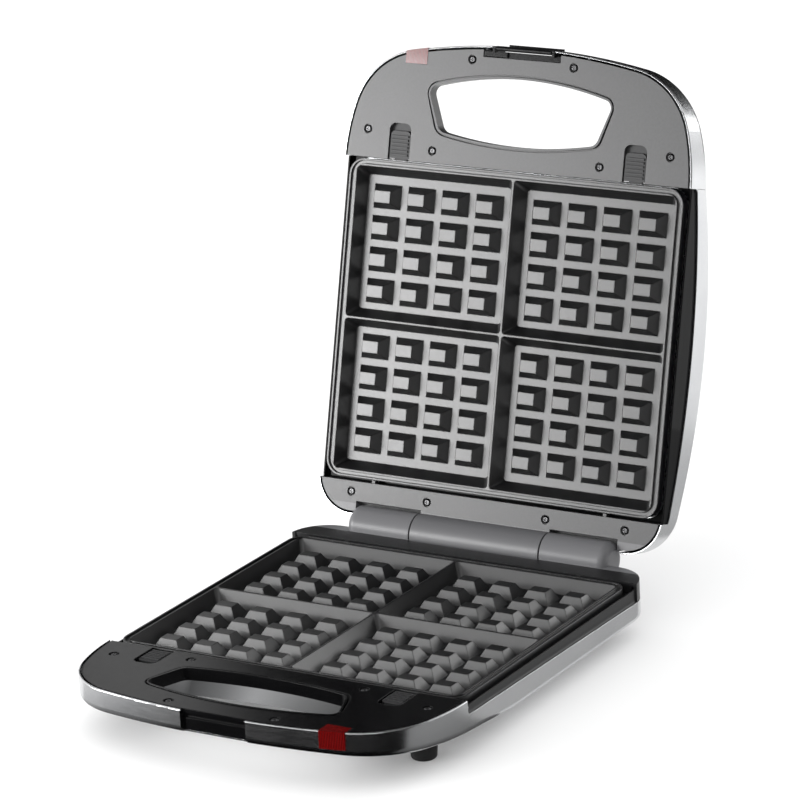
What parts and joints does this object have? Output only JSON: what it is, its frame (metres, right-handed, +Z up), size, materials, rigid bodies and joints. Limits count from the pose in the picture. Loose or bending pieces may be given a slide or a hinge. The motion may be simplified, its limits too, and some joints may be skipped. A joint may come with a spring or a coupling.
{
  "type": "sandwich maker",
  "caption": "Countertop cooker with two hinged halves, waffle plates that clip in, grip openings in both halves, a flip-over latch and indicator windows.",
  "frame": {"origin": "bottom centre of the box with the lid open, on the floor under the feet", "axes": "+X to the right seen from the front, +Y to the hinge at the back, +Z up"},
  "size_m": [0.2794, 0.4594, 0.3775],
  "materials": {
    "silver_steel": "satin",
    "black_plastic": "gloss",
    "grey_plastic": "satin",
    "hinge_plastic": "satin",
    "coated_aluminium": "non-stick coating",
    "bare_aluminium": "bare",
    "spring_steel": "bare",
    "screw_steel": "black oxide",
    "heater_steel": "heat tinted",
    "red_lens": "clear",
    "lamp_glass": "clear",
    "ceramic": "matt",
    "lead_sleeve": "matt",
    "foot_rubber": "matt",
    "bush_plastic": "matt"
  },
  "bodies": {
    "base": {"base_shell": "silver_steel", "base_front_cover": "silver_steel", "base_handle_frame": "black_plastic", "base_surround": "hinge_plastic", "base_keeper": "black_plastic", "base_lens": "red_lens", "base_lamp": "lamp_glass", "base_reflector": "bare_aluminium", "base_heater": "heater_steel", "base_heater_clamps": "spring_steel", "base_thermostat": "ceramic", "base_thermal_fuse": "ceramic", "base_terminal_block": "ceramic", "base_lead": "lead_sleeve", "base_inlet_gland": "foot_rubber", "base_feet": "foot_rubber", "base_foot_screws": "screw_steel", "base_frame_screws": "screw_steel", "base_clip_guides": "spring_steel", "base_clip_springs": "spring_steel", "hinge_pins": "screw_steel"},
    "lid": {"lid_shell": "silver_steel", "lid_front_cover": "silver_steel", "lid_handle_frame": "grey_plastic", "lid_surround": "black_plastic", "lid_hinge_strip": "grey_plastic", "lid_lens": "red_lens", "lid_lamp": "lamp_glass", "lid_reflector": "bare_aluminium", "lid_heater": "heater_steel", "lid_heater_clamps": "spring_steel", "lid_thermal_fuse": "ceramic", "lid_terminal_block": "ceramic", "lid_lead": "lead_sleeve", "lid_frame_screws": "screw_steel", "lid_strip_screws": "screw_steel", "lid_clip_guides": "spring_steel", "lid_clip_springs": "spring_steel", "lid_latch_bed": "black_plastic", "hinge_bushes": "bush_plastic", "latch_pin": "screw_steel"},
    "latch": {"latch_clip": "black_plastic"},
    "lower_plate_body": {"lower_plate": "coated_aluminium"},
    "upper_plate_body": {"upper_plate": "coated_aluminium"},
    "lower_clip_left_body": {"lower_clip_left": "grey_plastic"},
    "lower_clip_right_body": {"lower_clip_right": "grey_plastic"},
    "upper_clip_left_body": {"upper_clip_left": "grey_plastic"},
    "upper_clip_right_body": {"upper_clip_right": "grey_plastic"}
  },
  "joints": [
    {"name": "lid_hinge", "type": "hinge", "parent": "base", "child": "lid", "pos_m": [0, 0.11911, 0.041], "axis": [1, 0, 0], "range_deg": [0, 105.12]},
    {"name": "latch_hinge", "type": "hinge", "parent": "lid", "child": "latch", "pos_m": [0, 0.21153, 0.37573], "axis": [1, 0, 0], "range_deg": [0, 180]},
    {"name": "lower_plate_lift", "type": "slide", "parent": "base", "child": "lower_plate_body", "axis": [0, 0, -1], "range_m": [-0.06, 0]},
    {"name": "upper_plate_lift", "type": "slide", "parent": "lid", "child": "upper_plate_body", "axis": [0, 0.9654, -0.2608], "range_m": [-0.04, 0]},
    {"name": "lower_clip_left_slide", "type": "slide", "parent": "base", "child": "lower_clip_left_body", "axis": [0, 1, 0], "range_m": [-0.0045, 0], "stiffness_N_per_m": 400, "springref_m": 0.002},
    {"name": "lower_clip_right_slide", "type": "slide", "parent": "base", "child": "lower_clip_right_body", "axis": [0, 1, 0], "range_m": [-0.0045, 0], "stiffness_N_per_m": 400, "springref_m": 0.002},
    {"name": "upper_clip_left_slide", "type": "slide", "parent": "lid", "child": "upper_clip_left_body", "axis": [0, -0.2608, -0.9654], "range_m": [-0.0045, 0], "stiffness_N_per_m": 400, "springref_m": 0.002},
    {"name": "upper_clip_right_slide", "type": "slide", "parent": "lid", "child": "upper_clip_right_body", "axis": [0, -0.2608, -0.9654], "range_m": [-0.0045, 0], "stiffness_N_per_m": 400, "springref_m": 0.002}
  ]
}
